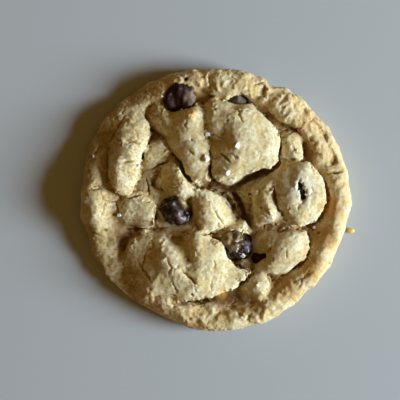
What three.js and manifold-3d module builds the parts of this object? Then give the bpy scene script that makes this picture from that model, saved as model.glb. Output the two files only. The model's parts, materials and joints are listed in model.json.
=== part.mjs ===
// A thick, soft-baked chocolate chip cookie, in millimetres, +Z up.
// It lies on its flat underside, with the origin at the centre of that face.
// The dough spread into a disc with a raised rim, and its crust broke into plates as it rose.
// Chocolate chips stand in pockets between the plates, and a few salt flakes are baked on.
import * as THREE from 'three';
import { mergeVertices } from 'three/addons/utils/BufferGeometryUtils.js';
import Module from 'manifold-3d';

const wasm = await Module();
wasm.setup();

// Driving dimensions of the disc.
// RIM_REACH is the outer radius every 30 degrees, anticlockwise from +X.
const RIM_REACH = [42.5, 42, 40.8, 41, 42, 42.8, 42.5, 41.8, 40.2, 41.4, 40.7, 41.2];
const RIM_HEIGHT = 9.6;
const CRACK_FLOOR = 5.2;
const FUSE_DEPTH = 4;
const ABOVE_ALL = 30;
const RIM_SIDES = 96;

// The disc's section, from the underside's centre over the rim to the top's centre:
// each station is a share of the outer radius and a share of the rim's height.
const DISC_SECTION = [
  [0, 0], [0.955, 0], [0.99, 0.13], [1, 0.38], [0.996, 0.64], [0.98, 0.85], [0.95, 0.97], [0.91, 1],
  [0.87, 0.95], [0.835, 0.82], [0.795, 0.7], [0.755, 0.64], [0.6, 0.74], [0.3, 0.8], [0, 0.8],
];

// A nick in the rim, where two of its lumps part: its direction, half-width and depth.
const NICK = { bearing: 62.5, halfWidth: 2.6, depth: 2 };

// Plates of the broken crust, the lowest first, because each later one lies over its neighbours.
// outline is a closed curve in plan, anticlockwise; top is the height at its middle;
// lean is the rise for each millimetre along X and Y; tear is the bearing of the side where it broke
// away, with a sharp edge and a crack as wide as gap; roll is the fall of its edge on the side opposite;
// crown is the fall from its middle to its edge, where that isn't the usual CROWN.
const PLATES = [
  { name: 'hollow crust', top: 9.8, lean: [0.12, 0], tear: -20, gap: 0.6, roll: 1.4, crown: 0.8,
    outline: [[-13, 15], [-16.5, 18.5], [-22.3, 17.5], [-23.6, 11.5], [-20.5, 9], [-16, 12]] },
  { name: 'lower left crust', top: 9.6, lean: [0.18, 0], tear: -20, gap: 0.6, roll: 1.2, crown: 0.5,
    outline: [[-20, 0], [-25, 2.6], [-30.4, -0.6], [-30.6, -6.5], [-26, -8.8], [-19.5, -8.8]] },
  { name: 'seam lump', top: 10.6, lean: [-0.05, 0], tear: 30, gap: 0.5, roll: 1,
    outline: [[17.4, -27], [15.6, -23.4], [9.6, -23.6], [7, -27.4], [9, -32], [14.6, -32.6]] },
  { name: 'chip flap', top: 10.4, lean: [0.1, 0.08], tear: 100, gap: 0.8, roll: 1.4,
    outline: [[11, -8.6], [8, -5.6], [3, -7], [1, -10.6], [5.5, -13.6], [10.6, -12]] },
  { name: 'right upper crust', top: 11.2, lean: [-0.06, 0], tear: 0, gap: 0.7, roll: 1.6,
    outline: [[27.4, 15], [25.6, 20.6], [20, 21], [19.2, 16], [20.6, 12.6], [27, 12.4]] },
  { name: 'lower right crust', top: 11.8, lean: [-0.05, 0], tear: -30, gap: 1.2, roll: 2.4,
    outline: [[29.6, -12], [28.6, -9.4], [21.4, -9.6], [17, -8.6], [11.8, -9.6], [11, -14.5], [12.4, -18],
      [12.8, -21.4], [17, -23.8], [22.4, -22.4], [27.4, -18.6]] },
  { name: 'left crescent', top: 11.6, lean: [-0.1, 0], tear: 0, gap: 0.7, roll: 2, crown: 1.2,
    outline: [[-22.4, 14.5], [-20.6, 21], [-22.4, 26.8], [-28.4, 26], [-32.8, 18], [-33.4, 10], [-30, 2],
      [-24.6, 4.6]] },
  { name: 'middle left crust', top: 11.6, lean: [0.3, 0.05], tear: 0, gap: 1, roll: 2.4,
    outline: [[-6.4, 2.4], [-10, 8], [-13.6, 12], [-17.4, 11], [-20.8, 7.6], [-20.4, 2.4], [-15, 1.6],
      [-9.4, -0.6]] },
  { name: 'right dome', top: 13.2, lean: [0.02, 0], tear: -10, gap: 1.2, roll: 2.6,
    outline: [[34.2, 2], [32, 8], [28, 11.6], [21.4, 11.4], [16, 8.2], [11.4, 4.6], [10, -2], [12, -8.2],
      [16, -8.2], [20.8, -7.4], [25.4, -8.6], [30.4, -6.6]] },
  { name: 'centre lump', top: 12.6, lean: [-0.14, 0.02], tear: 35, gap: 1.5, roll: 0.8,
    outline: [[5.8, -3.4], [4, -0.6], [1.6, 2], [-4, 3.2], [-7, 0], [-5.8, -9], [-1.5, -10.6], [1.4, -8.4],
      [4.8, -7]] },
  { name: 'bottom crust', top: 12.8, lean: [0.06, 0], tear: -30, gap: 1.3, roll: 2.8,
    outline: [[11.6, -21.4], [7.4, -20.4], [4.2, -18], [1, -12.6], [-6.5, -10], [-11.5, -12.2],
      [-14.5, -12.4], [-18.5, -10.2], [-26, -9.4], [-30, -13], [-32, -20], [-28, -26.8], [-22, -31],
      [-15, -31], [-8, -32], [0, -30], [6.6, -27.4]] },
  { name: 'upper left crust', top: 12, lean: [0.12, 0.04], tear: -75, gap: 1.2, roll: 2.6,
    outline: [[-1.6, 22], [-3.6, 29], [-9, 29.6], [-15, 28.4], [-20, 31], [-22.6, 29], [-20, 21.6],
      [-15.4, 18.6], [-14.2, 15.2], [-10.2, 12.8], [-9.2, 8.8], [-4.6, 4.8], [-1.4, 5.4], [0.8, 12]] },
  { name: 'big top crust', top: 14.4, lean: [0, 0], tear: -70, gap: 1.9, roll: 2.8,
    outline: [[19.2, 18], [17.4, 24], [13.6, 28], [6, 30.2], [-2.6, 30.8], [-3.8, 25], [-2, 19], [-1.2, 13],
      [-0.2, 6.6], [4.6, 4.2], [10.4, 7.8], [18.6, 11.2]] },
  { name: 'top rim lump', top: 10.8, lean: [-0.03, -0.04], tear: -80, gap: 0.8, roll: 1.8,
    outline: [[16, 34.6], [11.6, 38.4], [5.6, 40], [-2.5, 40], [-3.6, 36], [-2, 32.4], [2.4, 30.8],
      [9, 32.6], [13, 31]] },
  { name: 'right rim ridge', top: 10.6, lean: [-0.1, -0.06], tear: 215, gap: 1, roll: 1.8,
    outline: [[38.4, 12], [35, 20.4], [29.8, 27.2], [24.8, 32.2], [21.6, 35], [17.2, 34.2], [15, 30],
      [18.6, 26], [24.6, 22.4], [29.2, 16.8], [32.8, 10.4]] },
];

// How a plate is shaped: the spacing of its relief, its crown, its rolled edge, the undercut of its
// torn side, its torn outline, and how far its rolled side laps over its neighbours.
const RELIEF_STEP = 2;
const CROWN = 2.2;
const ROLLED_EDGE = { reach: 4.2, least: 0.1 };
const UNDERCUT = { share: 0.06, from: 0.7 };
const TORN = { reach: 0.9, span: 2.8, seed: 31 };
const OVERLAP = 1.2;

// Swells and furrows of the crust: place, half-length, half-width, direction of the length, and rise.
const SWELLS = [
  { at: [-7.5, 26.5], half: [4, 3.4], turn: 0, rise: 1.8 },
  { at: [-6.4, 13], half: [5, 3], turn: 110, rise: 1 },
  { at: [-17.5, 22.5], half: [9, 5.5], turn: -58, rise: -1.4 },
  { at: [1, 20], half: [9, 3.4], turn: 86, rise: -1.8 },
  { at: [8, 18], half: [8, 4], turn: 90, rise: 0.5 },
  { at: [-11, 4.5], half: [3.5, 3], turn: 60, rise: 0.8 },
  { at: [-19.5, 5.5], half: [6, 4.6], turn: 90, rise: -2.8 },
  { at: [-5.4, -19], half: [9, 2.8], turn: 97, rise: 1.2 },
  { at: [-9, -18], half: [6, 1.9], turn: 106, rise: -2 },
  { at: [-11.6, -25], half: [7, 2.2], turn: 122, rise: 1.4 },
  { at: [-27, -19], half: [11, 8], turn: 90, rise: -3.8 },
  { at: [6.5, -25], half: [9, 6.5], turn: 70, rise: -3.2 },
  { at: [-27, -16], half: [5, 2], turn: 80, rise: 1.5 },
  { at: [-23, -28.5], half: [3, 2], turn: 30, rise: 0.9 },
  { at: [18.9, 0], half: [9, 1.7], turn: 104, rise: -2.8 },
  { at: [7.6, -1], half: [7, 4.6], turn: 90, rise: -4.6 },
  { at: [14.6, -1], half: [6, 2], turn: 100, rise: 0.6 },
  { at: [26.5, 2], half: [7, 5], turn: 90, rise: 1 },
  { at: [13.5, -13.5], half: [5, 3.6], turn: 40, rise: -2.4 },
  { at: [15.6, -17.6], half: [4.4, 1.8], turn: 42, rise: -2.2 },
  { at: [24, -14], half: [7, 3], turn: 70, rise: 0.6 },
  { at: [-36, -2], half: [8, 3.4], turn: 92, rise: 1 },
  { at: [-33, 0], half: [9, 4], turn: 90, rise: 1.2 },
  { at: [-36.5, 18.5], half: [9, 4.4], turn: 63, rise: -3.2 },
  { at: [-24.5, 33], half: [9, 4.4], turn: 36, rise: -2.8 },
  { at: [-37.5, -15], half: [7, 4.4], turn: -68, rise: -2.8 },
  { at: [-31, -26], half: [9, 4.4], turn: -50, rise: -3 },
  { at: [-18, -37], half: [9, 4.4], turn: -26, rise: -2.4 },
  { at: [35.8, 21], half: [10, 3.6], turn: 120, rise: -1.8 },
];

// Thin cracks across the crust: the way each runs, its width, and the height of its floor.
const CRACKS = [
  { way: [[-5.4, 6], [-0.6, 4.6], [4.4, 3.4], [9.4, 5.8], [15.6, 9.8]], width: 1, floor: 3.6 },
  { way: [[5, 4], [7.2, -0.6], [8.8, -5], [11, -9.4]], width: 1.2, floor: 3.6 },
  { way: [[16.4, 6.6], [18.4, 1.6], [19.4, -3.4], [22.4, -7.6]], width: 0.7, floor: 7 },
  { way: [[19.4, -12.6], [17, -15.6], [14.6, -17.8], [12.4, -19]], width: 0.4, floor: 5.6 },
  { way: [[-29.4, 16], [-27, 18.2], [-23.4, 18.2]], width: 0.5, floor: 8.6 },
  { way: [[-30, 12.6], [-27.6, 11.8], [-24.6, 12.6]], width: 0.5, floor: 8.6 },
  { way: [[-40, 3.2], [-37.5, 4.2], [-34, 3.2]], width: 0.6, floor: 7.2 },
  { way: [[33.6, 8.4], [36.6, 9], [40.4, 8.8]], width: 0.7, floor: 6.8 },
  { way: [[11.4, -34.6], [9.6, -37.4], [10.2, -40.6]], width: 0.5, floor: 5.4 },
  { way: [[-3.4, 36], [-4.4, 38], [-4, 40.6]], width: 0.6, floor: 7 },
];

// A thin crack's section: its height, its width above and at its floor in shares of the crack's own,
// and how blunt its ends are.
const WEDGE = { height: 8, above: 4, floor: 0.3, blunt: 0.05 };

// Deep hollows between the plates: centre, half-sizes, and the direction of the first of these.
const HOLLOWS = [
  { at: [-11.4, -32.4, 8.6], half: [3.6, 1.3, 2.4], turn: -6 },
  { at: [-9.2, 37.6, 9.6], half: [0.6, 0.9, 2], turn: -20 },
];
const HOLLOW_SIDES = [10, 6];

// Chips: soft drops of chocolate, each half sunk in its pocket. tilt leans the drop's tip off
// upright, towards bearing; window is the half-sizes and direction of the part that shows.
const CHIP = { radius: 4.8, height: 6.6, sides: 12 };
const CHIP_SECTION = [[0, 0], [0.8, 0], [1, 0.16], [0.93, 0.38], [0.68, 0.64], [0.34, 0.88], [0, 1]];
const POCKET_GAP = 0.3;
const WINDOW_SIDES = 14;
const CHIPS = [
  { name: 'chip_top_left', at: [-11, 31.8, 6.4], size: 1, tilt: 165, bearing: 80, window: [4.6, 3.1, 0] },
  { name: 'chip_mid_left', at: [-13, -4.6, 7.2], size: 1, tilt: 55, bearing: 235, window: [4, 4.4, 20] },
  { name: 'chip_centre', at: [6.8, -15.6, 6.8], size: 1.12, tilt: 40, bearing: 300, window: [4.6, 4, -60] },
  { name: 'chip_right', at: [26.4, 2.6, 9.6], size: 0.92, tilt: 8, bearing: 0, window: [3.4, 0.65, 105] },
  { name: 'chip_top', at: [7, 31, 5.6], size: 0.78, tilt: 20, bearing: 90, window: [3.4, 0.8, -8] },
  { name: 'chip_low_right', at: [14.4, -18, 4.6], size: 0.62, tilt: 25, bearing: 20, window: [1.8, 0.9, 35] },
];

// Salt flakes baked on the crust: where they lie, and their length.
const SALT = [
  { at: [-2.5, 20.4], length: 1.5 }, { at: [6.5, 16.7], length: 1.6 }, { at: [-2.9, 13], length: 2 },
  { at: [3.1, 8.5], length: 2.1 }, { at: [12.9, -26.7], length: 1.3 }, { at: [-38, 13.6], length: 1.1 },
];
const SALT_SHAPE = { widthShare: 0.75, heightShare: 0.6, sunkShare: 0.25, tilt: 0.3 };

// Unevenness of hand-scooped dough: how far a point may wander, and over what distance.
const WANDER = [{ reach: 0.8, span: 5.2, seed: 7 }, { reach: 0.4, span: 2.6, seed: 19 }];
const FLAT_BELOW = 1.5;

// Smooth lattice noise from -1 to 1, the same on each run.
function latticeValue(i, j, k, seed) {
  let h = Math.imul(i, 374761393) ^ Math.imul(j, 668265263) ^ Math.imul(k, 1440662683);
  h = Math.imul(h ^ Math.imul(seed, 974634777), 1103515245);
  h = Math.imul(h ^ (h >>> 13), 1274126177);
  return ((h ^ (h >>> 16)) >>> 0) / 2147483647.5 - 1;
}

function noise(p, span, seed) {
  const scaled = p.toArray().map((t) => t / span);
  const [i, j, k] = scaled.map(Math.floor);
  const [u, v, w] = scaled.map((t) => THREE.MathUtils.smoothstep(t - Math.floor(t), 0, 1));
  const mix = THREE.MathUtils.lerp;
  const row = (dj, dk) => mix(
    latticeValue(i, j + dj, k + dk, seed), latticeValue(i + 1, j + dj, k + dk, seed), u,
  );
  return mix(mix(row(0, 0), row(1, 0), v), mix(row(0, 1), row(1, 1), v), w);
}

// A closed geometry becomes a solid: its shared vertices are merged and its faces turned outwards.
function solidOf(geometry) {
  const bare = geometry.clone();
  bare.deleteAttribute('normal');
  bare.deleteAttribute('uv');
  const merged = mergeVertices(bare, 1e-4);
  const index = merged.index.array;
  const triangles = [];
  for (let t = 0; t < index.length; t += 3) {
    const [a, b, c] = index.slice(t, t + 3);
    if (a !== b && b !== c && c !== a) triangles.push(a, b, c);
  }
  const at = (i) => new THREE.Vector3().fromBufferAttribute(merged.attributes.position, i);
  let volume = 0;
  for (let t = 0; t < triangles.length; t += 3) {
    volume += at(triangles[t]).dot(at(triangles[t + 1]).cross(at(triangles[t + 2])));
  }
  if (volume < 0) triangles.reverse();
  return new wasm.Manifold(new wasm.Mesh({
    numProp: 3,
    vertProperties: merged.attributes.position.array,
    triVerts: Uint32Array.from(triangles),
  }));
}

function geometryOf(solid) {
  const mesh = solid.getMesh();
  const geometry = new THREE.BufferGeometry();
  geometry.setAttribute('position', new THREE.BufferAttribute(mesh.vertProperties, 3));
  geometry.setIndex(new THREE.BufferAttribute(mesh.triVerts, 1));
  geometry.computeVertexNormals();
  return geometry;
}

// The rim's outer radius in a direction: a smooth loop through RIM_REACH, less the nick.
function rimReach(angle) {
  const turn = THREE.MathUtils.euclideanModulo(angle / (2 * Math.PI), 1) * RIM_REACH.length;
  const i = Math.floor(turn);
  const blend = THREE.MathUtils.smoothstep(turn - i, 0, 1);
  const smooth = THREE.MathUtils.lerp(RIM_REACH[i], RIM_REACH[(i + 1) % RIM_REACH.length], blend);
  const bearing = THREE.MathUtils.radToDeg(angle);
  const off = THREE.MathUtils.euclideanModulo(bearing - NICK.bearing + 180, 360) - 180;
  return smooth - NICK.depth * Math.exp(-((off / NICK.halfWidth) ** 2));
}

// How far the swells lift the crust at a point.
function swellAt(x, y) {
  let rise = 0;
  for (const { at, half, turn, rise: height } of SWELLS) {
    const p = new THREE.Vector2(x, y);
    p.sub(new THREE.Vector2(...at)).rotateAround(new THREE.Vector2(), -THREE.MathUtils.degToRad(turn));
    rise += height * Math.exp(-((p.x / half[0]) ** 2) - (p.y / half[1]) ** 2);
  }
  return rise;
}

// The disc with its rim: a lathe of the section, whose rings then follow the rim's reach.
function discSolid() {
  const section = DISC_SECTION.map(([r, z]) => new THREE.Vector2(r, z * RIM_HEIGHT));
  const lathe = new THREE.LatheGeometry(section, RIM_SIDES);
  lathe.rotateX(Math.PI / 2);
  const position = lathe.attributes.position;
  for (let i = 0; i < position.count; i += 1) {
    const reach = rimReach(Math.atan2(position.getY(i), position.getX(i)));
    const [x, y, z] = [position.getX(i) * reach, position.getY(i) * reach, position.getZ(i)];
    position.setXYZ(i, x, y, z > RIM_HEIGHT / 2 ? Math.max(CRACK_FLOOR, z + swellAt(x, y)) : z);
  }
  return solidOf(lathe);
}

// A plate's outline: a closed curve through its points, torn a little to and fro.
class Outline {
  constructor(points, tear) {
    this.tear = THREE.MathUtils.degToRad(tear);
    const corners = points.map(([x, y]) => new THREE.Vector3(x, y, 0));
    this.curve = new THREE.CatmullRomCurve3(corners, true, 'centripetal');
    this.middle = new THREE.Vector3();
    corners.forEach((corner) => this.middle.addScaledVector(corner, 1 / corners.length));
    this.steps = Math.max(4, Math.round(this.curve.getLength() / RELIEF_STEP / 4));
  }

  // How far a point of the outline is on the torn side: 1 at its middle, 0 opposite.
  tornShare(p) {
    const off = Math.atan2(p.y - this.middle.y, p.x - this.middle.x) - this.tear;
    return 0.5 + 0.5 * Math.cos(off);
  }

  // The outline's point at a share of its length, moved outwards by grow.
  at(share, grow) {
    const u = THREE.MathUtils.euclideanModulo(share, 1);
    const p = this.curve.getPointAt(u);
    const along = this.curve.getTangentAt(u);
    const outwards = new THREE.Vector3(along.y, -along.x, 0);
    const widen = grow && THREE.MathUtils.lerp(-OVERLAP, grow, this.tornShare(p));
    return p.addScaledVector(outwards, widen + TORN.reach * noise(p, TORN.span, TORN.seed));
  }
}

// Square to round: the share of the way out, and round, of a point of the square from -1 to 1.
function roundOf(u, v) {
  const out = Math.max(Math.abs(u), Math.abs(v));
  if (out === 0) return [0, 0];
  if (Math.abs(u) >= Math.abs(v)) return [out, v / u / 8 + (u > 0 ? 0 : 0.5)];
  return [out, -u / v / 8 + (v > 0 ? 0.25 : 0.75)];
}

// One plate of crust: a block whose square top is drawn out to the plate's outline and domed.
function plateSolid({ outline: points, top, lean, tear, roll, crown = CROWN }) {
  const outline = new Outline(points, tear);
  const { middle, steps } = outline;
  const block = new THREE.BoxGeometry(2, 2, 2, steps, steps, 1);
  const position = block.attributes.position;
  for (let i = 0; i < position.count; i += 1) {
    const [out, round] = roundOf(position.getX(i), position.getY(i));
    const isTop = position.getZ(i) > 0;
    const edge = outline.at(round, 0);
    const torn = outline.tornShare(edge);
    const foot = 1 - UNDERCUT.share * THREE.MathUtils.smoothstep(torn, UNDERCUT.from, 1);
    const p = middle.clone().lerp(edge, isTop ? out : out * foot);
    const inward = Math.max(0, 1 - p.distanceTo(edge) / ROLLED_EDGE.reach);
    const drop = roll * (ROLLED_EDGE.least + 1 - torn);
    const slope = lean[0] * (p.x - middle.x) + lean[1] * (p.y - middle.y);
    const face = top + slope + swellAt(p.x, p.y) - crown * out ** 2 - drop * inward ** 2;
    position.setXYZ(i, p.x, p.y, isTop ? face : FUSE_DEPTH);
  }
  return solidOf(block);
}

// The crack round a plate: a column a little wider than it, from the crack's floor upwards.
function crackSolid({ outline: points, tear, gap }) {
  const outline = new Outline(points, tear);
  const sides = outline.steps * 4;
  const loop = Array.from({ length: sides }, (_, i) => outline.at(i / sides, gap));
  const column = new THREE.ExtrudeGeometry(new THREE.Shape(loop), { depth: ABOVE_ALL, bevelEnabled: false });
  column.translate(0, 0, CRACK_FLOOR);
  return solidOf(column);
}

// A thin crack: a wedge along its way, open above and closing to nothing at its floor and its ends.
function wedgeSolid({ way, width, floor }) {
  const curve = new THREE.CatmullRomCurve3(way.map(([x, y]) => new THREE.Vector3(x, y, 0)));
  const steps = Math.round(curve.getLength() / RELIEF_STEP);
  const wedge = new THREE.BoxGeometry(1, 2, 2, steps, 1, 1);
  const position = wedge.attributes.position;
  for (let i = 0; i < position.count; i += 1) {
    const share = position.getX(i) + 0.5;
    const isTop = position.getZ(i) > 0;
    const along = curve.getTangentAt(share);
    const across = new THREE.Vector3(-along.y, along.x, 0);
    const taper = Math.sqrt(WEDGE.blunt + share * (1 - share) * 4);
    const half = width / 2 * (isTop ? WEDGE.above : WEDGE.floor) * taper;
    const p = curve.getPointAt(share).addScaledVector(across, half * position.getY(i));
    position.setXYZ(i, p.x, p.y, isTop ? floor + WEDGE.height : floor);
  }
  return solidOf(wedge);
}

function hollowSolid({ at, half, turn }) {
  const hollow = new THREE.SphereGeometry(1, ...HOLLOW_SIDES);
  hollow.scale(...half).rotateZ(THREE.MathUtils.degToRad(turn)).translate(...at);
  return solidOf(hollow);
}

// Hand-scooped dough is nowhere true: each point wanders a little, except on the flat underside.
function wandered(solid) {
  const geometry = geometryOf(solid);
  const position = geometry.attributes.position;
  for (let i = 0; i < position.count; i += 1) {
    const p = new THREE.Vector3().fromBufferAttribute(position, i);
    const free = THREE.MathUtils.smoothstep(p.z, 0, FLAT_BELOW);
    const moved = p.clone();
    for (const { reach, span, seed } of WANDER) {
      const way = [0, 1, 2].map((axis) => noise(p, span, seed + axis));
      moved.addScaledVector(new THREE.Vector3(...way), reach * free);
    }
    position.setXYZ(i, moved.x, moved.y, Math.max(moved.z, 0));
  }
  return solidOf(geometry);
}

// A chip: a drop with a flat base and a soft tip, grown all round by grow.
function chipGeometry({ at, size, tilt, bearing }, grow) {
  const [radius, height] = [CHIP.radius * size + grow, CHIP.height * size + 2 * grow];
  const section = CHIP_SECTION.map(([r, z]) => new THREE.Vector2(r * radius, (z - 0.5) * height));
  const lathe = new THREE.LatheGeometry(section, CHIP.sides);
  lathe.rotateX(Math.PI / 2);
  const towards = THREE.MathUtils.degToRad(bearing);
  const axis = new THREE.Vector3(-Math.sin(towards), Math.cos(towards), 0);
  lathe.applyQuaternion(new THREE.Quaternion().setFromAxisAngle(axis, THREE.MathUtils.degToRad(tilt)));
  lathe.translate(...at);
  return lathe;
}

// The pocket that a chip stands in, open above over the part of it that shows.
function pocketSolid(chip) {
  const [halfLength, halfWidth, turn] = chip.window;
  const rim = new THREE.EllipseCurve(0, 0, halfLength, halfWidth);
  const shape = new THREE.Shape(rim.getPoints(WINDOW_SIDES).slice(1));
  const shaft = new THREE.ExtrudeGeometry(shape, { depth: ABOVE_ALL, bevelEnabled: false });
  shaft.rotateZ(THREE.MathUtils.degToRad(turn)).translate(...chip.at);
  return solidOf(chipGeometry(chip, POCKET_GAP)).add(solidOf(shaft));
}

// A salt flake: a small block, sunk a little into the crust that it fell on.
function saltSolid({ at, length }, ground, turn) {
  const height = length * SALT_SHAPE.heightShare;
  const flake = new THREE.BoxGeometry(length, length * SALT_SHAPE.widthShare, height);
  flake.rotateX(SALT_SHAPE.tilt * turn).rotateZ(turn);
  flake.translate(at[0], at[1], ground + height * (0.5 - SALT_SHAPE.sunkShare));
  return solidOf(flake);
}

// The dough: the disc, its cracks, plates and hollows, then the pockets and the salt.
function doughGeometry() {
  let dough = discSolid();
  for (const plate of PLATES) {
    dough = dough.subtract(crackSolid(plate)).add(plateSolid(plate));
  }
  for (const hollow of HOLLOWS) {
    dough = dough.subtract(hollowSolid(hollow));
  }
  for (const crack of CRACKS) {
    dough = dough.subtract(wedgeSolid(crack));
  }
  dough = wandered(dough);
  for (const chip of CHIPS) {
    dough = dough.subtract(pocketSolid(chip));
  }
  const crust = new THREE.Mesh(geometryOf(dough), new THREE.MeshBasicMaterial());
  const down = new THREE.Vector3(0, 0, -1);
  SALT.forEach((flake, i) => {
    const ray = new THREE.Raycaster(new THREE.Vector3(...flake.at, ABOVE_ALL), down);
    const ground = ray.intersectObject(crust)[0].point.z;
    dough = dough.add(saltSolid(flake, ground, i));
  });
  return geometryOf(dough);
}

const BAKED = { color: 0xc9a468, roughness: 0.9, metalness: 0 };
const CHOCOLATE = { color: 0x3a241c, roughness: 0.4, metalness: 0 };

const cookie = new THREE.Group();

const dough = new THREE.Mesh(doughGeometry(), new THREE.MeshStandardMaterial(BAKED));
dough.name = 'dough';
cookie.add(dough);

for (const chip of CHIPS) {
  const geometry = geometryOf(solidOf(chipGeometry(chip, 0)));
  const drop = new THREE.Mesh(geometry, new THREE.MeshStandardMaterial(CHOCOLATE));
  drop.name = chip.name;
  cookie.add(drop);
}

// The origin is the middle of the cookie's footprint.
const footprint = new THREE.Box3().setFromObject(cookie).getCenter(new THREE.Vector3());
cookie.children.forEach((piece) => piece.geometry.translate(-footprint.x, -footprint.y, 0));

export default cookie;
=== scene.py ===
# A thick, soft-baked chocolate chip cookie, in metres, lying on its flat underside.
import json
import math

import bpy
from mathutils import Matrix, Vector

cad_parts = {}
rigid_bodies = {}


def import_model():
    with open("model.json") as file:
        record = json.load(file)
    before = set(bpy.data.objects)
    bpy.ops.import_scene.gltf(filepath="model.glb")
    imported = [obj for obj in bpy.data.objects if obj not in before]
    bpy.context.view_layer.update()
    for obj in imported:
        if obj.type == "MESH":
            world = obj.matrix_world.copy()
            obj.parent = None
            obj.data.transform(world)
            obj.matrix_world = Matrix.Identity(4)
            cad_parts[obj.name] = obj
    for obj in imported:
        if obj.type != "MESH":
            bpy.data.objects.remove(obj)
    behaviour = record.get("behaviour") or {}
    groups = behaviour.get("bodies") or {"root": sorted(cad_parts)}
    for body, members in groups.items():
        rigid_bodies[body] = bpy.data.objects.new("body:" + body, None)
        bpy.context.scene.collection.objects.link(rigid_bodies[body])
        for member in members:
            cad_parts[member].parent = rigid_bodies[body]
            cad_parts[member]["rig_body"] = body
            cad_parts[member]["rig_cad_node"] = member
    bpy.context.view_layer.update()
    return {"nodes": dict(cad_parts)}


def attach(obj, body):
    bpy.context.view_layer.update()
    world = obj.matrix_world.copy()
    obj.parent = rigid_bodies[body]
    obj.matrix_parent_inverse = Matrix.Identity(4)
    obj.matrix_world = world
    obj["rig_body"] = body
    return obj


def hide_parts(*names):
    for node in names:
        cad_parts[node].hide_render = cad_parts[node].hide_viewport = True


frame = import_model()

# The dough
# Butter dough scooped by hand and baked: it spread into a disc with a raised, crumbly rim, and its
# crust broke into plates. Seen close it is matt and grainy, pale gold on top and browner in the cracks.
MM = 0.001
SAME_POINT = 0.002 * MM
CRUST_VOXEL = 0.34 * MM
CRUST_SMOOTHING = 3
FLAT_BELOW = 0.3 * MM


def linear(hex_colour):
    """An sRGB hex colour as linear red, green and blue, with full alpha."""
    channels = [int(hex_colour[start:start + 2], 16) / 255 for start in (1, 3, 5)]
    return [channel / 12.92 if channel <= 0.04045 else ((channel + 0.055) / 1.055) ** 2.4
            for channel in channels] + [1.0]


def feed(tree, node, inputs):
    """Sets inputs, by name, or by number where names repeat, to a value or to the socket that feeds them."""
    for key, value in inputs.items():
        if isinstance(key, int):
            socket = node.inputs[key]
        else:
            socket = next(found for found in node.inputs if found.name == key and found.enabled)
        if isinstance(value, bpy.types.NodeSocket):
            tree.links.new(value, socket)
        else:
            socket.default_value = value


def put(tree, kind, inputs=None, **settings):
    """Adds one node with its settings and inputs, and gives its outputs by name."""
    node = tree.nodes.new(kind)
    for name, value in settings.items():
        setattr(node, name, value)
    feed(tree, node, inputs or {})
    return {socket.name: socket for socket in node.outputs if socket.enabled}


def only(piece):
    """Makes one piece the only selected and the active one."""
    bpy.ops.object.select_all(action="DESELECT")
    piece.select_set(True)
    bpy.context.view_layer.objects.active = piece


def copy_of_node(name, piece_name):
    """A merged copy of a solid, as the start of the finished piece."""
    only(frame["nodes"][name])
    bpy.ops.object.duplicate()
    piece = bpy.context.view_layer.objects.active
    piece.name = piece_name
    piece.data.name = piece_name
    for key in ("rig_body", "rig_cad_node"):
        if key in piece:
            del piece[key]
    piece.parent = None
    bpy.ops.object.mode_set(mode="EDIT")
    bpy.ops.mesh.select_all(action="SELECT")
    bpy.ops.mesh.remove_doubles(threshold=SAME_POINT)
    bpy.ops.object.mode_set(mode="OBJECT")
    piece.data.materials.clear()
    return piece


def apply_modifier(piece, kind, **settings):
    """Adds a modifier to a piece and applies it at once."""
    only(piece)
    modifier = piece.modifiers.new(kind.lower(), kind)
    for name, value in settings.items():
        setattr(modifier, name, value)
    bpy.ops.object.modifier_apply(modifier=modifier.name)


def geometry_group(name):
    """An empty group of geometry nodes, and the geometry that comes into it."""
    group = bpy.data.node_groups.new(name, "GeometryNodeTree")
    group.interface.new_socket("Geometry", in_out="INPUT", socket_type="NodeSocketGeometry")
    group.interface.new_socket("Geometry", in_out="OUTPUT", socket_type="NodeSocketGeometry")
    return group, put(group, "NodeGroupInput")["Geometry"]


dough = copy_of_node("dough", "baked_dough")
apply_modifier(dough, "REMESH", mode="VOXEL", voxel_size=CRUST_VOXEL)
apply_modifier(dough, "SMOOTH", factor=0.5, iterations=CRUST_SMOOTHING)

# The solid's facets are melted away on the open crust, and kept sharp in the cracks and at their edges.
# A bend is how far a point lies from the middle of what is round it.
MELT_ROUNDS = 16
OPEN_BEND = 0.14 * MM
SHARP_BEND = 0.45 * MM
PLAIN_BEND = 0.1 * MM
TORN_BEND = 0.28 * MM
TORN_ROUNDS = 5
melt, came_in = geometry_group("crust_melt")
place = put(melt, "GeometryNodeInputPosition")["Position"]
around = put(melt, "GeometryNodeBlurAttribute", {"Value": place, "Iterations": MELT_ROUNDS},
             data_type="FLOAT_VECTOR")["Value"]
bend = put(melt, "ShaderNodeVectorMath", {0: place, 1: around}, operation="DISTANCE")["Value"]
is_edge = put(melt, "ShaderNodeMapRange",
              {"Value": bend, "From Min": PLAIN_BEND, "From Max": TORN_BEND})["Result"]
near_edge = put(melt, "GeometryNodeBlurAttribute", {"Value": is_edge, "Iterations": TORN_ROUNDS},
                data_type="FLOAT")["Value"]
marked = put(melt, "GeometryNodeStoreNamedAttribute",
             {"Geometry": came_in, "Name": "torn_edge", "Value": near_edge},
             data_type="FLOAT", domain="POINT")["Geometry"]
is_open = put(melt, "ShaderNodeMapRange", {"Value": bend, "From Min": OPEN_BEND, "From Max": SHARP_BEND,
                                           "To Min": 1.0, "To Max": 0.0})["Result"]
soft = put(melt, "GeometryNodeBlurAttribute",
           {"Value": place, "Iterations": MELT_ROUNDS, "Weight": is_open},
           data_type="FLOAT_VECTOR")["Value"]
height = put(melt, "ShaderNodeSeparateXYZ", {"Vector": place})["Z"]
is_above = put(melt, "FunctionNodeCompare", {"A": height, "B": FLAT_BELOW},
               operation="GREATER_THAN")["Result"]
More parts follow.
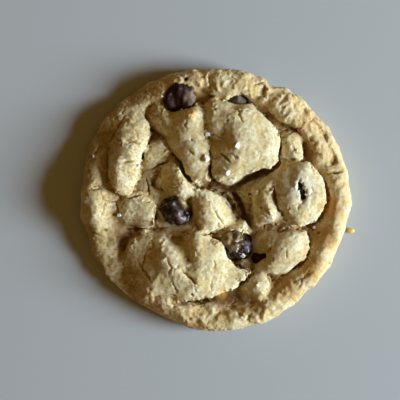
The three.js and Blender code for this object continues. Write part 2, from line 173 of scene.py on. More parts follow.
melted = put(melt, "GeometryNodeSetPosition",
             {"Geometry": marked, "Selection": is_above, "Position": soft})["Geometry"]
put(melt, "NodeGroupOutput", {"Geometry": melted})
apply_modifier(dough, "NODES", node_group=melt)

# The crust's relief is laid over the solid, with none of it underneath and the roughest of it on the rim.
RELIEF_IS_FULL = 2 * MM
RIM_STARTS = 32 * MM
RIM_IS_FULL = 36 * MM
relief, came_in = geometry_group("crust_relief")
place = put(relief, "GeometryNodeInputPosition")["Position"]
outward = put(relief, "GeometryNodeInputNormal")["Normal"]
axes = put(relief, "ShaderNodeSeparateXYZ", {"Vector": place})
flat = put(relief, "ShaderNodeCombineXYZ", {"X": axes["X"], "Y": axes["Y"]})["Vector"]
radius = put(relief, "ShaderNodeVectorMath", {0: flat}, operation="LENGTH")["Value"]
above = put(relief, "ShaderNodeMapRange",
            {"Value": axes["Z"], "From Min": FLAT_BELOW, "From Max": RELIEF_IS_FULL},
            interpolation_type="SMOOTHSTEP")["Result"]
on_rim = put(relief, "ShaderNodeMapRange",
             {"Value": radius, "From Min": RIM_STARTS, "From Max": RIM_IS_FULL},
             interpolation_type="SMOOTHSTEP")["Result"]


def wander(tree, place, span, detail, reach):
    """A vector that strays to all sides over a span, as far as a reach lets it."""
    noise = put(tree, "ShaderNodeTexNoise", {"Vector": place, "Scale": 1 / span, "Detail": detail})["Color"]
    to_all_sides = put(tree, "ShaderNodeVectorMath", {0: noise, 1: (0.5, 0.5, 0.5)},
                       operation="SUBTRACT")["Vector"]
    return put(tree, "ShaderNodeVectorMath", {0: to_all_sides, "Scale": reach}, operation="SCALE")["Vector"]


# Broad unevenness, lumps that are highest at the two ends of the rim, and the grain of the crust. Real
# grains of sugar are under half a millimetre: these are drawn coarser, so that they show.
SWELL_SPAN = 5 * MM
SWELL_RISE = 0.4 * MM
LUMP_SPAN = 2.6 * MM
PLATE_LUMP = 0.7 * MM
SIDE_LUMP = 0.9 * MM
END_LUMP = 1.9 * MM
GRAIN_SPAN = 0.8 * MM
GRAIN_RISE = 0.07 * MM
swell = put(relief, "ShaderNodeTexNoise",
            {"Vector": place, "Scale": 1 / SWELL_SPAN, "Detail": 2.0})["Fac"]
swell = put(relief, "ShaderNodeMapRange", {"Value": swell, "From Min": 0.2, "From Max": 0.8,
                                           "To Min": -SWELL_RISE, "To Max": SWELL_RISE})["Result"]
lump = put(relief, "ShaderNodeTexNoise",
           {"Vector": place, "Scale": 1 / LUMP_SPAN, "Detail": 3.0, "Roughness": 0.6})["Fac"]
lump = put(relief, "ShaderNodeMath", {0: lump, 1: 0.5}, operation="SUBTRACT")["Value"]
lump = put(relief, "ShaderNodeMath", {0: lump}, operation="ABSOLUTE")["Value"]
end_on = put(relief, "ShaderNodeMath", {0: axes["Y"]}, operation="ABSOLUTE")["Value"]
rim_lump = put(relief, "ShaderNodeMapRange", {"Value": end_on, "From Min": 12 * MM, "From Max": 30 * MM,
                                              "To Min": SIDE_LUMP, "To Max": END_LUMP})["Result"]
lump_size = put(relief, "ShaderNodeMapRange",
                {"Value": on_rim, "To Min": PLATE_LUMP, "To Max": rim_lump})["Result"]
lump = put(relief, "ShaderNodeMath", {0: lump, 1: lump_size}, operation="MULTIPLY")["Value"]
grain = put(relief, "ShaderNodeTexNoise",
            {"Vector": place, "Scale": 1 / GRAIN_SPAN, "Detail": 3.0, "Roughness": 0.6})["Fac"]
grain = put(relief, "ShaderNodeMapRange", {"Value": grain, "From Min": 0.25, "From Max": 0.75,
                                           "To Min": -GRAIN_RISE, "To Max": GRAIN_RISE})["Result"]

# Rounded clods of dough along the rim, parted by soft clefts: in patches, and weaker on the right.
CLOD_SPAN = 4.0 * MM
CLOD_RISE = 0.3 * MM
CLEFT_DEPTH = 0.5 * MM
CLOD_PATCH = 9 * MM
RIGHTWARD = (1.0, -0.2, 0.0)
drift = wander(relief, place, span=4 * MM, detail=1.0, reach=7 * MM)
drifted = put(relief, "ShaderNodeVectorMath", {0: flat, 1: drift}, operation="ADD")["Vector"]
clod = put(relief, "ShaderNodeTexVoronoi",
           {"Vector": drifted, "Scale": 1 / CLOD_SPAN, "Smoothness": 0.25},
           feature="SMOOTH_F1")["Distance"]
clod = put(relief, "ShaderNodeMapRange", {"Value": clod, "From Min": 0.1, "From Max": 0.7,
                                          "To Min": CLOD_RISE, "To Max": -CLEFT_DEPTH})["Result"]
crumbly = put(relief, "ShaderNodeTexNoise",
              {"Vector": place, "Scale": 1 / CLOD_PATCH, "Detail": 1.0})["Fac"]
crumbly = put(relief, "ShaderNodeMapRange", {"Value": crumbly, "From Min": 0.42, "From Max": 0.6,
                                             "To Min": 0.15, "To Max": 1.3})["Result"]
side = put(relief, "ShaderNodeVectorMath", {0: flat, 1: RIGHTWARD}, operation="DOT_PRODUCT")["Value"]
side = put(relief, "ShaderNodeMapRange", {"Value": side, "From Min": 22 * MM, "From Max": 32 * MM,
                                          "To Min": 1.0, "To Max": 0.3},
           interpolation_type="SMOOTHSTEP")["Result"]
crumbly = put(relief, "ShaderNodeMath", {0: crumbly, 1: side}, operation="MULTIPLY")["Value"]
for share in (crumbly, on_rim, above):
    clod = put(relief, "ShaderNodeMath", {0: clod, 1: share}, operation="MULTIPLY")["Value"]
upward = put(relief, "ShaderNodeCombineXYZ", {"Z": clod})["Vector"]

# Fine tears in patches, and small pits where steam came out.
TEAR_SPAN = 9 * MM
TEAR_PATCH = 6 * MM
TEAR_DEPTH = 0.5 * MM
PIT_SPAN = 3.6 * MM
PIT_DEPTH = 0.8 * MM
PITS_LEFT_OUT = 0.85
stray = wander(relief, place, span=1.8 * MM, detail=3.0, reach=2.2 * MM)
strayed = put(relief, "ShaderNodeVectorMath", {0: place, 1: stray}, operation="ADD")["Vector"]
tear = put(relief, "ShaderNodeTexVoronoi", {"Vector": strayed, "Scale": 1 / TEAR_SPAN},
           feature="DISTANCE_TO_EDGE")["Distance"]
tear = put(relief, "ShaderNodeMapRange",
           {"Value": tear, "From Max": 0.035, "To Min": 1.0, "To Max": 0.0})["Result"]
patch = put(relief, "ShaderNodeTexNoise",
            {"Vector": place, "Scale": 1 / TEAR_PATCH, "Detail": 1.0})["Fac"]
patch = put(relief, "ShaderNodeMapRange", {"Value": patch, "From Min": 0.52, "From Max": 0.62,
                                           "To Min": 0.0, "To Max": -TEAR_DEPTH})["Result"]
tear = put(relief, "ShaderNodeMath", {0: tear, 1: patch}, operation="MULTIPLY")["Value"]
pit = put(relief, "ShaderNodeTexVoronoi", {"Vector": place, "Scale": 1 / PIT_SPAN}, feature="F1")
hole = put(relief, "ShaderNodeMapRange", {"Value": pit["Distance"], "From Min": 0.06, "From Max": 0.17,
                                          "To Min": -PIT_DEPTH, "To Max": 0.0})["Result"]
luck = put(relief, "ShaderNodeSeparateXYZ", {"Vector": pit["Color"]})["X"]
luck = put(relief, "ShaderNodeMath", {0: luck, 1: PITS_LEFT_OUT}, operation="GREATER_THAN")["Value"]
hole = put(relief, "ShaderNodeMath", {0: hole, 1: luck}, operation="MULTIPLY")["Value"]

# The longer cracks of the crust: the middle and half-length of each in mm, and the degrees it is turned.
FURROWS = (
    ((-22.0, -8.9), 8.0, 2), ((-1.9, -10.5), 4.0, -4), ((1.0, -5.1), 3.4, -62),
    ((-8.0, -24.0), 4.4, -45), ((-21.8, -22.7), 4.0, -55), ((2.9, 13.1), 2.6, -40),
    ((-26.0, 18.2), 3.2, -16), ((-27.0, 12.0), 2.8, 5), ((-37.8, 3.5), 3.2, 6),
    ((-35.0, -9.3), 2.2, 4), ((-30.9, 22.0), 6.0, 61), ((-33.7, 11.5), 6.4, 90),
    ((-17.6, 10.9), 4.4, 26), ((-21.1, 4.2), 3.6, -80), ((-25.1, 1.1), 3.2, 17),
    ((37.0, 8.6), 3.0, 10), ((26.8, -8.5), 3.4, -12), ((26.7, 12.1), 1.8, 0),
)
FURROW_HALF_WIDTH = 0.5 * MM
FURROW_DEPTH = 0.9 * MM
FURROW_STRAYING = 0.55
wandering = put(relief, "ShaderNodeVectorMath", {0: stray, "Scale": FURROW_STRAYING},
                operation="SCALE")["Vector"]
wandering = put(relief, "ShaderNodeVectorMath", {0: flat, 1: wandering}, operation="ADD")["Vector"]
furrow = 0.0
for (x, y), half_length, turn in FURROWS:
    off = put(relief, "ShaderNodeVectorMath", {0: wandering, 1: (x * MM, y * MM, 0.0)},
              operation="SUBTRACT")["Vector"]
    off = put(relief, "ShaderNodeVectorRotate", {"Vector": off, "Angle": -math.radians(turn)},
              rotation_type="Z_AXIS")["Vector"]
    off = put(relief, "ShaderNodeVectorMath", {0: off, 1: (half_length * MM, FURROW_HALF_WIDTH, 1.0)},
              operation="DIVIDE")["Vector"]
    off = put(relief, "ShaderNodeVectorMath", {0: off}, operation="LENGTH")["Value"]
    off = put(relief, "ShaderNodeMapRange", {"Value": off, "From Min": 0.3, "From Max": 1.0,
                                             "To Min": -FURROW_DEPTH, "To Max": 0.0})["Result"]
    furrow = put(relief, "ShaderNodeMath", {0: off, 1: furrow}, operation="ADD")["Value"]

# All of it together, with the torn edges of the plates made ragged, less so at the outer edge.
RAGGED_SPAN = 1.2 * MM
PLAIN_RAGGED = 0.15 * MM
TORN_RAGGED = 3.2 * MM
rise = swell
for part in (lump, grain, tear, hole, furrow):
    rise = put(relief, "ShaderNodeMath", {0: rise, 1: part}, operation="ADD")["Value"]
rise = put(relief, "ShaderNodeMath", {0: rise, 1: above}, operation="MULTIPLY")["Value"]
offset = put(relief, "ShaderNodeVectorMath", {0: outward, "Scale": rise}, operation="SCALE")["Vector"]
torn = put(relief, "GeometryNodeInputNamedAttribute", {"Name": "torn_edge"}, data_type="FLOAT")["Attribute"]
tearing = put(relief, "ShaderNodeMapRange",
              {"Value": torn, "To Min": PLAIN_RAGGED, "To Max": TORN_RAGGED})["Result"]
inner = put(relief, "ShaderNodeMapRange", {"Value": radius, "From Min": 35 * MM, "From Max": 39 * MM,
                                           "To Min": 1.0, "To Max": 0.2})["Result"]
for share in (inner, above):
    tearing = put(relief, "ShaderNodeMath", {0: share, 1: tearing}, operation="MULTIPLY")["Value"]
ragged = wander(relief, place, span=RAGGED_SPAN, detail=1.0, reach=tearing)
for part in (ragged, upward):
    offset = put(relief, "ShaderNodeVectorMath", {0: offset, 1: part}, operation="ADD")["Vector"]
raised = put(relief, "GeometryNodeSetPosition", {"Geometry": came_in, "Offset": offset})["Geometry"]

# How far each point stands out of, or lies below, what is round it: near by, and over wider reaches. The
# crust's colour is darkened by these at low points, as painted shade.
for name, rounds in (("grain_height", 8), ("crevice_height", 60), ("trough_height", 240)):
    around = put(relief, "GeometryNodeBlurAttribute", {"Value": place, "Iterations": rounds},
                 data_type="FLOAT_VECTOR")["Value"]
    proud = put(relief, "ShaderNodeVectorMath", {0: place, 1: around}, operation="SUBTRACT")["Vector"]
    proud = put(relief, "ShaderNodeVectorMath", {0: proud, 1: outward}, operation="DOT_PRODUCT")["Value"]
    raised = put(relief, "GeometryNodeStoreNamedAttribute",
                 {"Geometry": raised, "Name": name, "Value": proud},
                 data_type="FLOAT", domain="POINT")["Geometry"]
put(relief, "NodeGroupOutput", {"Geometry": raised})
apply_modifier(dough, "NODES", node_group=relief)

# The flat underside needs no fine mesh, and the whole is kept to a set number of triangles.
UNDERSIDE_KEPT = 0.06
UNDERSIDE_FIRST = 10.0
MOST_TRIANGLES = 190000
underneath = [vertex.index for vertex in dough.data.vertices if vertex.co.z < FLAT_BELOW / 2]
dough.vertex_groups.new(name="underside").add(underneath, 1.0, "REPLACE")
share_kept = 1 - (1 - UNDERSIDE_KEPT) * len(underneath) / len(dough.data.vertices)
apply_modifier(dough, "DECIMATE", ratio=share_kept, vertex_group="underside",
               vertex_group_factor=UNDERSIDE_FIRST)
triangles = sum(len(face.vertices) - 2 for face in dough.data.polygons)
apply_modifier(dough, "DECIMATE", ratio=min(1.0, MOST_TRIANGLES / triangles))
bpy.ops.object.shade_smooth()


def new_material(name):
    """A material, its tree and shader, and the place on the piece that is being coloured."""
    material = bpy.data.materials.new(name)
    material.use_nodes = True
    tree = material.node_tree
    return material, tree, tree.nodes["Principled BSDF"], put(tree, "ShaderNodeTexCoord")["Object"]


# Baked crust: matt, with light soaking a little way in, pale where it stands proud, with painted shade brown
# in its low grains and cracks.
# Its blotches are some mm wide; its sugar and toasted specks are drawn coarser than real, so that they show.
BLOTCH_SPAN = 4 * MM
SPECK_SPAN = 0.8 * MM
TOAST_SPAN = 9 * MM
GRIT_SPAN = 0.9 * MM
crust, tree, shader, where = new_material("baked butter crust")
across = put(tree, "ShaderNodeSeparateXYZ", {"Vector": where})
flat = put(tree, "ShaderNodeCombineXYZ", {"X": across["X"], "Y": across["Y"]})["Vector"]
radius = put(tree, "ShaderNodeVectorMath", {0: flat}, operation="LENGTH")["Value"]
blotch = put(tree, "ShaderNodeTexNoise",
             {"Vector": where, "Scale": 1 / BLOTCH_SPAN, "Detail": 5.0, "Roughness": 0.6})["Fac"]
blotch = put(tree, "ShaderNodeMapRange", {"Value": blotch, "From Min": 0.38, "From Max": 0.66})["Result"]
blotched = put(tree, "ShaderNodeMix",
               {"Factor": blotch, "A": linear("#E8DCB8"), "B": linear("#CBB077")},
               data_type="RGBA")["Result"]
# Low grains are painted darker brown, as the shade between them.
proud = put(tree, "ShaderNodeAttribute", attribute_name="grain_height")["Fac"]
proud = put(tree, "ShaderNodeMapRange",
            {"Value": proud, "From Min": -0.22 * MM, "From Max": 0.1 * MM})["Result"]
colour = put(tree, "ShaderNodeMix", {"Factor": proud, "A": linear("#B89C64"), "B": blotched},
             data_type="RGBA")["Result"]

# Pale grains and brown specks, and painted shade: the bottoms of crevices, troughs and deep cracks are
# darkened brown.
speck = put(tree, "ShaderNodeTexNoise",
            {"Vector": where, "Scale": 1 / SPECK_SPAN, "Detail": 3.0, "Roughness": 0.65})["Fac"]
pale_grain = put(tree, "ShaderNodeMapRange",
                 {"Value": speck, "From Min": 0.45, "From Max": 0.3, "To Max": 0.45})["Result"]
brown_speck = put(tree, "ShaderNodeMapRange",
                  {"Value": speck, "From Min": 0.5, "From Max": 0.68, "To Max": 0.55})["Result"]
crevice_shade = put(tree, "ShaderNodeAttribute", attribute_name="crevice_height")["Fac"]
crevice_shade = put(tree, "ShaderNodeMapRange", {"Value": crevice_shade, "From Min": -0.9 * MM, "From Max": -0.1 * MM,
                                           "To Min": 1.0, "To Max": 0.0})["Result"]
trough_shade = put(tree, "ShaderNodeAttribute", attribute_name="trough_height")["Fac"]
trough_shade = put(tree, "ShaderNodeMapRange", {"Value": trough_shade, "From Min": -1.6 * MM, "From Max": 0.2 * MM,
                                          "To Min": 0.75, "To Max": 0.0})["Result"]
inside = put(tree, "ShaderNodeMapRange", {"Value": radius, "From Min": 33 * MM, "From Max": 35 * MM,
                                          "To Min": 1.0, "To Max": 0.0})["Result"]
# Painted shade: deep places inside the rim are darkened towards dark brown.
deep_shade = put(tree, "ShaderNodeMapRange", {"Value": across["Z"], "From Min": 5 * MM, "From Max": 7.6 * MM,
                                        "To Min": 0.9, "To Max": 0.0})["Result"]
deep_shade = put(tree, "ShaderNodeMath", {0: inside, 1: deep_shade}, operation="MULTIPLY")["Value"]

# The rim is toasted; on the left it is painted browner and greyer as shade, and the left of the whole crust
# has dark freckles of painted shade.
rim_toast_and_left_shade = put(tree, "ShaderNodeTexNoise", {"Vector": where, "Scale": 1 / TOAST_SPAN, "Detail": 3.0})["Fac"]
rim_toast_and_left_shade = put(tree, "ShaderNodeMapRange", {"Value": rim_toast_and_left_shade, "From Min": 0.35, "From Max": 0.65,
                                          "To Min": 0.05, "To Max": 0.5})["Result"]
outer = put(tree, "ShaderNodeMapRange",
            {"Value": radius, "From Min": 31 * MM, "From Max": 40 * MM})["Result"]
# Painted shade: the rim's toasting is made stronger towards the left.
left_shade_boost = put(tree, "ShaderNodeMapRange", {"Value": across["X"], "From Min": -30 * MM, "From Max": 5 * MM,
                                           "To Min": 2.6, "To Max": 1.0})["Result"]
for share in (outer, left_shade_boost):
    rim_toast_and_left_shade = put(tree, "ShaderNodeMath", {0: rim_toast_and_left_shade, 1: share}, operation="MULTIPLY")["Value"]
# Painted shade on the left: a greyer tint and dark freckles.
shaded_left = put(tree, "ShaderNodeMapRange", {"Value": across["X"], "From Min": -30 * MM,
                                            "From Max": -10 * MM, "To Min": 1.0, "To Max": 0.0})["Result"]
toast_and_shade_tint = put(tree, "ShaderNodeMix", {"Factor": shaded_left, "A": linear("#C99A55"), "B": linear("#AE9360")},
            data_type="RGBA")["Result"]
left_shade_freckle = put(tree, "ShaderNodeMath", {0: brown_speck, 1: shaded_left}, operation="MULTIPLY")["Value"]
for share, tint in (
    (pale_grain, linear("#F0E6C4")), (brown_speck, linear("#AA8348")), (crevice_shade, linear("#8F6A38")),
    (trough_shade, linear("#A67A3C")), (deep_shade, linear("#6E4A20")), (rim_toast_and_left_shade, toast_and_shade_tint), (left_shade_freckle, linear("#85653A")),
):
    colour = put(tree, "ShaderNodeMix", {"Factor": share, "A": colour, "B": tint},
                 data_type="RGBA")["Result"]

# Spots of another colour: the middle and reach of each in mm, its colour, and the share of it at the middle.
# Two are butter-gold and one is greyed; the others are painted light: browns along the rim's inner trough on
# the right that are toasting and painted shade, a painted reflection beside the centre chip, and painted
# shade in a small hole.
CRUST_SPOTS = (
    ((-7.4, 27.0), 2.2, "#E2A04A", 0.6), ((2.0, -29.0), 2.6, "#DDA552", 0.5),
    # Greyed on the right dome; grey-lilac beside the centre chip, a painted reflection.
    ((25.6, 3.4), 7.5, "#C6C2B4", 0.45), ((10.5, -13.5), 3.0, "#B9ACA6", 0.5),
    # Brown along the rim's inner trough on the right: toasted crust and painted shade.
    ((21.5, -27.0), 6.0, "#BE883C", 0.55), ((29.0, -20.5), 6.0, "#BE883C", 0.55),
    ((33.6, -11.5), 5.5, "#BE883C", 0.55), ((35.4, -2.5), 5.0, "#BE883C", 0.5),
    ((26.5, 23.0), 5.5, "#B98A4C", 0.4), ((32.0, 15.5), 5.0, "#B98A4C", 0.4),
    # A small hole too narrow to stay open, painted dark as its shade.
    ((-9.2, 37.6), 1.1, "#2E1B0D", 0.95),
)
SPOT_CORE = 0.3
for (x, y), reach, tint, share in CRUST_SPOTS:
    off = put(tree, "ShaderNodeVectorMath", {0: flat, 1: (x * MM, y * MM, 0.0)},
              operation="DISTANCE")["Value"]
    off = put(tree, "ShaderNodeMapRange",
              {"Value": off, "From Min": SPOT_CORE * reach * MM, "From Max": reach * MM,
               "To Min": share, "To Max": 0.0}, interpolation_type="SMOOTHSTEP")["Result"]
    colour = put(tree, "ShaderNodeMix", {"Factor": off, "A": colour, "B": linear(tint)},
                 data_type="RGBA")["Result"]
grit = put(tree, "ShaderNodeTexNoise",
           {"Vector": where, "Scale": 1 / GRIT_SPAN, "Detail": 4.0, "Roughness": 0.75})["Fac"]
bump = put(tree, "ShaderNodeBump", {"Strength": 0.6, "Distance": 0.3 * MM, "Height": grit})["Normal"]
feed(tree, shader, {"Base Color": colour, "Roughness": 0.85, "Specular IOR Level": 0.2, "Normal": bump,
                    "Subsurface Weight": 0.45, "Subsurface Radius": (1.0, 0.6, 0.3),
                    "Subsurface Scale": 0.8 * MM})
dough.data.materials.append(crust)
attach(dough, "root")
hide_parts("dough")

# The chips
# Drops of dark chocolate that softened in the oven and set again in their pockets. Some ran, and are
# ridged and shiny; the others kept a dull skin. Butter and dough left paler smears on them, and two carry
# pale grey-lilac streaks of painted highlight and reflection.
CHIP_VOXEL = 0.22 * MM
RIDGE_LEVEL = 0.45

# Of each chip: its finish, the size and height of its ridges in mm, and the rounds that soften it.
CHIP_LOOKS = {
    "chip_top_left": ("dull", 3.0, 2.0, 4), "chip_mid_left": ("shiny", 3.0, 4.6, 12),
    "chip_centre": ("shiny", 3.0, 4.0, 12), "chip_right": ("dull", 2.6, 1.0, 12),
    "chip_top": ("dull", 2.6, 1.0, 12), "chip_low_right": ("dull", 2.6, 1.0, 12),
}

# Smears of dough and butter, and pale grey-lilac streaks of painted highlight and reflection: the middle and
# reach of each in mm, its colour, and its share at the middle.
SMEARS_AND_SHEEN = (
    # The second is a painted reflection, grey-lilac at the right of the centre chip.
    ((4.4, -11.6), 5.0, "#9A7E55", 0.95), ((10.4, -14.4), 2.2, "#A0939A", 0.6),
    # Three grey-lilac streaks down the ridge of the middle-left chip: paler bloom and a painted highlight.
    ((-12.2, -1.6), 1.7, "#8B7878", 0.7), ((-11.2, -4.0), 1.7, "#8B7878", 0.7),
    ((-10.2, -6.4), 1.9, "#8B7878", 0.7), ((7.0, 31.0), 4.5, "#75655A", 0.8),
    ((-6.8, 31.9), 3.6, "#94806A", 0.9), ((15.8, -18.0), 4.5, "#4A2518", 0.8),
    ((26.4, 2.6), 3.0, "#4A3A3C", 0.7), ((-8.6, -0.2), 3.2, "#C4AA78", 1.0),
)
SMEAR_AND_SHEEN_CORE = 0.5

# Dark chocolate: near black, with a sheen where it ran; paler and duller where its fat came out in a bloom,
# where dough smeared it, and along the painted streaks of highlight and reflection. Of each finish: its
# roughness where clean and under smears and streaks, and its gloss.
FINISHES = (("dull", 0.55, 0.7, 0.15), ("shiny", 0.16, 0.45, 0.4))
BLOOM_SPAN = 1.6 * MM
RIPPLE_SPAN = 0.9 * MM
chocolate = {}
for finish, clean, dulled, gloss in FINISHES:
    chocolate[finish], tree, shader, where = new_material("dark chocolate, " + finish)
    across = put(tree, "ShaderNodeSeparateXYZ", {"Vector": where})
    flat = put(tree, "ShaderNodeCombineXYZ", {"X": across["X"], "Y": across["Y"]})["Vector"]
    bloom = put(tree, "ShaderNodeTexNoise", {"Vector": where, "Scale": 1 / BLOOM_SPAN, "Detail": 4.0})["Fac"]
    streak = put(tree, "ShaderNodeMapRange",
                 {"Value": bloom, "From Min": 0.35, "From Max": 0.6, "To Min": 0.35})["Result"]
    bloom = put(tree, "ShaderNodeMapRange",
                {"Value": bloom, "From Min": 0.58, "From Max": 0.75, "To Max": 0.8})["Result"]
    colour = put(tree, "ShaderNodeMix", {"Factor": bloom, "A": linear("#2B140E"), "B": linear("#55392C")},
                 data_type="RGBA")["Result"]
    smear_and_sheen = bloom
    for (x, y), reach, tint, share in SMEARS_AND_SHEEN:
        off = put(tree, "ShaderNodeVectorMath", {0: flat, 1: (x * MM, y * MM, 0.0)},
                  operation="DISTANCE")["Value"]
        off = put(tree, "ShaderNodeMapRange",
                  {"Value": off, "From Min": SMEAR_AND_SHEEN_CORE * reach * MM, "From Max": reach * MM,
                   "To Min": share, "To Max": 0.0})["Result"]
        off = put(tree, "ShaderNodeMath", {0: off, 1: streak}, operation="MULTIPLY")["Value"]
        colour = put(tree, "ShaderNodeMix", {"Factor": off, "A": colour, "B": linear(tint)},
                     data_type="RGBA")["Result"]
        smear_and_sheen = put(tree, "ShaderNodeMath", {0: smear_and_sheen, 1: off}, operation="MAXIMUM")["Value"]
    dullness = put(tree, "ShaderNodeMapRange",
                   {"Value": smear_and_sheen, "From Max": 0.8, "To Min": clean, "To Max": dulled})["Result"]
    ripple = put(tree, "ShaderNodeTexNoise",
                 {"Vector": where, "Scale": 1 / RIPPLE_SPAN, "Detail": 2.0})["Fac"]
    bump = put(tree, "ShaderNodeBump", {"Strength": 0.3, "Distance": 0.15 * MM, "Height": ripple})["Normal"]
    feed(tree, shader, {"Base Color": colour, "Roughness": dullness, "Specular IOR Level": gloss,
                        "Normal": bump})
chips = []
for name, (finish, ridge_size, ridge_height, softening) in CHIP_LOOKS.items():
    chip = copy_of_node(name, "chocolate_" + name)
    apply_modifier(chip, "REMESH", mode="VOXEL", voxel_size=CHIP_VOXEL)
    apply_modifier(chip, "SMOOTH", factor=0.5, iterations=softening)
    ridges = bpy.data.textures.new("melted ridges", "CLOUDS")
    ridges.noise_scale = ridge_size * MM
    ridges.noise_depth = 1
    apply_modifier(chip, "DISPLACE", texture=ridges, strength=ridge_height * MM, mid_level=RIDGE_LEVEL)
    bpy.ops.object.shade_smooth()
    chip.data.materials.append(chocolate[finish])
    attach(chip, "root")
    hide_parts(name)
    chips.append(chip)

# The salt
# Coarse flakes of salt, pressed into the dough before baking, and one white bit on a chip that is part flake
# and part painted glint: small cloudy blocks with blunt edges. Of each flake: where it lies and its length,
# in mm.
FLAKES = (
    ((-2.5, 20.4), 1.5), ((6.5, 16.7), 1.6), ((-2.9, 13.0), 2.0), ((3.1, 8.5), 2.1), ((12.9, -26.7), 1.3),
    ((-38.0, 13.6), 1.1), ((-24.1, 10.8), 1.3), ((-30.0, -4.6), 1.5), ((-7.2, 5.3), 1.3),
    # The last, on the centre chip, is part salt and part painted glint.
    ((30.9, -8.5), 1.1), ((8.6, -17.2), 1.5),
)
FLAKE_SHAPE = (1.0, 0.8, 0.65)
FLAKE_TURN = (0.3, 0.2, 1.0)
FLAKE_BLUNTING = 0.14
FLAKE_UNEVENNESS = 0.1
ABOVE_ALL = 30 * MM


def top_of(pieces, x, y):
    """The highest point of some pieces at a place."""
    casts = [piece.ray_cast(Vector((x, y, ABOVE_ALL)), Vector((0, 0, -1))) for piece in pieces]
    return max((spot for is_hit, spot, _, _ in casts if is_hit), key=lambda spot: spot.z)


# Salt crystal: cloudy white with frosted patches, light soaking through it, and a glint on its faces.
FROST_SPAN = 0.5 * MM
salt_crystal, tree, shader, where = new_material("salt crystal")
frost = put(tree, "ShaderNodeTexNoise", {"Vector": where, "Scale": 1 / FROST_SPAN, "Detail": 2.0})["Fac"]
colour = put(tree, "ShaderNodeMix", {"Factor": frost, "A": linear("#F4F1EA"), "B": linear("#D8D2C4")},
             data_type="RGBA")["Result"]
feed(tree, shader, {"Base Color": colour, "Roughness": 0.25, "IOR": 1.54, "Subsurface Weight": 0.4,
                    "Subsurface Radius": (1.0, 1.0, 1.0), "Subsurface Scale": 0.5 * MM})
flakes = []
for number, ((x, y), length) in enumerate(FLAKES):
    spot = top_of([dough, *chips], x * MM, y * MM)
    bpy.ops.object.select_all(action="DESELECT")
    bpy.ops.mesh.primitive_cube_add(size=length * MM, location=spot,
                                    rotation=[number * turn for turn in FLAKE_TURN])
    flake = bpy.context.view_layer.objects.active
    flake.scale = FLAKE_SHAPE
    bpy.ops.object.transform_apply(location=True, rotation=True, scale=True)
    bpy.ops.object.mode_set(mode="EDIT")
    bpy.ops.mesh.bevel(offset=FLAKE_BLUNTING * length * MM, segments=2, affect="EDGES")
    bpy.ops.mesh.subdivide(number_cuts=1)
    bpy.ops.transform.vertex_random(offset=FLAKE_UNEVENNESS * length * MM, seed=number + 1)
    bpy.ops.object.mode_set(mode="OBJECT")
    flakes.append(flake)
bpy.ops.object.select_all(action="DESELECT")
for flake in flakes:
    flake.select_set(True)
bpy.context.view_layer.objects.active = flakes[0]
bpy.ops.object.join()
salt = flakes[0]
salt.name = "salt_flakes"
bpy.ops.object.transform_apply(location=True, rotation=True, scale=True)
salt.data.materials.append(salt_crystal)
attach(salt, "root")

# The crumb
# One loose crumb of toasted dough, broken off the edge: a rough grain, orange-gold from the oven.
CRUMB_AT = (42.9 * MM, -9.7 * MM)
CRUMB_RADIUS = 0.95 * MM
CRUMB_SHAPE = (1.3, 0.9, 0.8)
CRUMB_UNEVENNESS = 0.22
CRUMB_LIFT = 0.86
bpy.ops.object.select_all(action="DESELECT")
bpy.ops.mesh.primitive_ico_sphere_add(subdivisions=3, radius=CRUMB_RADIUS)
crumb = bpy.context.view_layer.objects.active
crumb.name = "loose_crumb"
bpy.ops.object.mode_set(mode="EDIT")
bpy.ops.transform.resize(value=CRUMB_SHAPE)
bpy.ops.transform.vertex_random(offset=CRUMB_UNEVENNESS * CRUMB_RADIUS, seed=4)
bpy.ops.mesh.vertices_smooth(factor=0.4)
bpy.ops.transform.translate(value=(*CRUMB_AT, CRUMB_LIFT * CRUMB_RADIUS))
bpy.ops.object.mode_set(mode="OBJECT")
bpy.ops.object.shade_smooth()

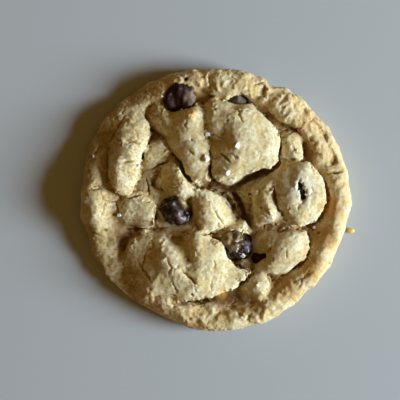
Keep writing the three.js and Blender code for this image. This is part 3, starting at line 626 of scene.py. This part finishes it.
# Toasted crumb: matt and orange-gold, paler in grains.
CRUMB_GRAIN = 0.6 * MM
toasted, tree, shader, where = new_material("toasted crumb")
grains = put(tree, "ShaderNodeTexNoise", {"Vector": where, "Scale": 1 / CRUMB_GRAIN, "Detail": 2.0})["Fac"]
colour = put(tree, "ShaderNodeMix", {"Factor": grains, "A": linear("#DC9C34"), "B": linear("#F0D384")},
             data_type="RGBA")["Result"]
feed(tree, shader, {"Base Color": colour, "Roughness": 0.8})
crumb.data.materials.append(toasted)
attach(crumb, "root")

# The stage
# A pale floor, a soft cool window light from the right, a dim warm room, and a camera that looks
# straight down.
FLOOR_SIZE = 4.0
bpy.ops.object.select_all(action="DESELECT")
bpy.ops.mesh.primitive_plane_add(size=FLOOR_SIZE, location=(0, 0, 0))
floor = bpy.context.view_layer.objects.active
floor.name = "floor"

# Pale floor: an even light grey, dull enough to mirror nothing.
floor_paint = bpy.data.materials.new("pale floor")
floor_paint.use_nodes = True
feed(floor_paint.node_tree, floor_paint.node_tree.nodes["Principled BSDF"],
     {"Base Color": linear("#AEAEAE"), "Roughness": 0.6})
floor.data.materials.append(floor_paint)

ROOM_GLOW = (0.17, 0.103, 0.025, 1.0)
world = bpy.data.worlds.new("room")
world.use_nodes = True
feed(world.node_tree, world.node_tree.nodes["Background"], {"Color": ROOM_GLOW, "Strength": 1.0})
bpy.context.scene.world = world

WINDOW_FROM = Vector((1.357, -0.191, 0.61))
WINDOW_WIDTH = 0.6
WINDOW_WATTS = 52.0
WINDOW_TINT = (0.70, 0.86, 1.0)
window = bpy.data.lights.new("window", "AREA")
window.shape = "RECTANGLE"
window.size = WINDOW_WIDTH
window.size_y = WINDOW_WIDTH
window.energy = WINDOW_WATTS
window.color = WINDOW_TINT
window_object = bpy.data.objects.new("window", window)
bpy.context.scene.collection.objects.link(window_object)
window_object.location = WINDOW_FROM
window_object.rotation_euler = (-WINDOW_FROM).to_track_quat("-Z", "Y").to_euler()

CAMERA_AT = (-4.84 * MM, 0.06 * MM, 0.479)
FOCAL_LENGTH_MM = 136.0
SENSOR_WIDTH_MM = 36.0
lens = bpy.data.cameras.new("camera")
lens.lens = FOCAL_LENGTH_MM
lens.sensor_width = SENSOR_WIDTH_MM
camera = bpy.data.objects.new("camera", lens)
bpy.context.scene.collection.objects.link(camera)
camera.location = CAMERA_AT
bpy.context.scene.camera = camera
bpy.context.scene.view_settings.view_transform = "Standard"
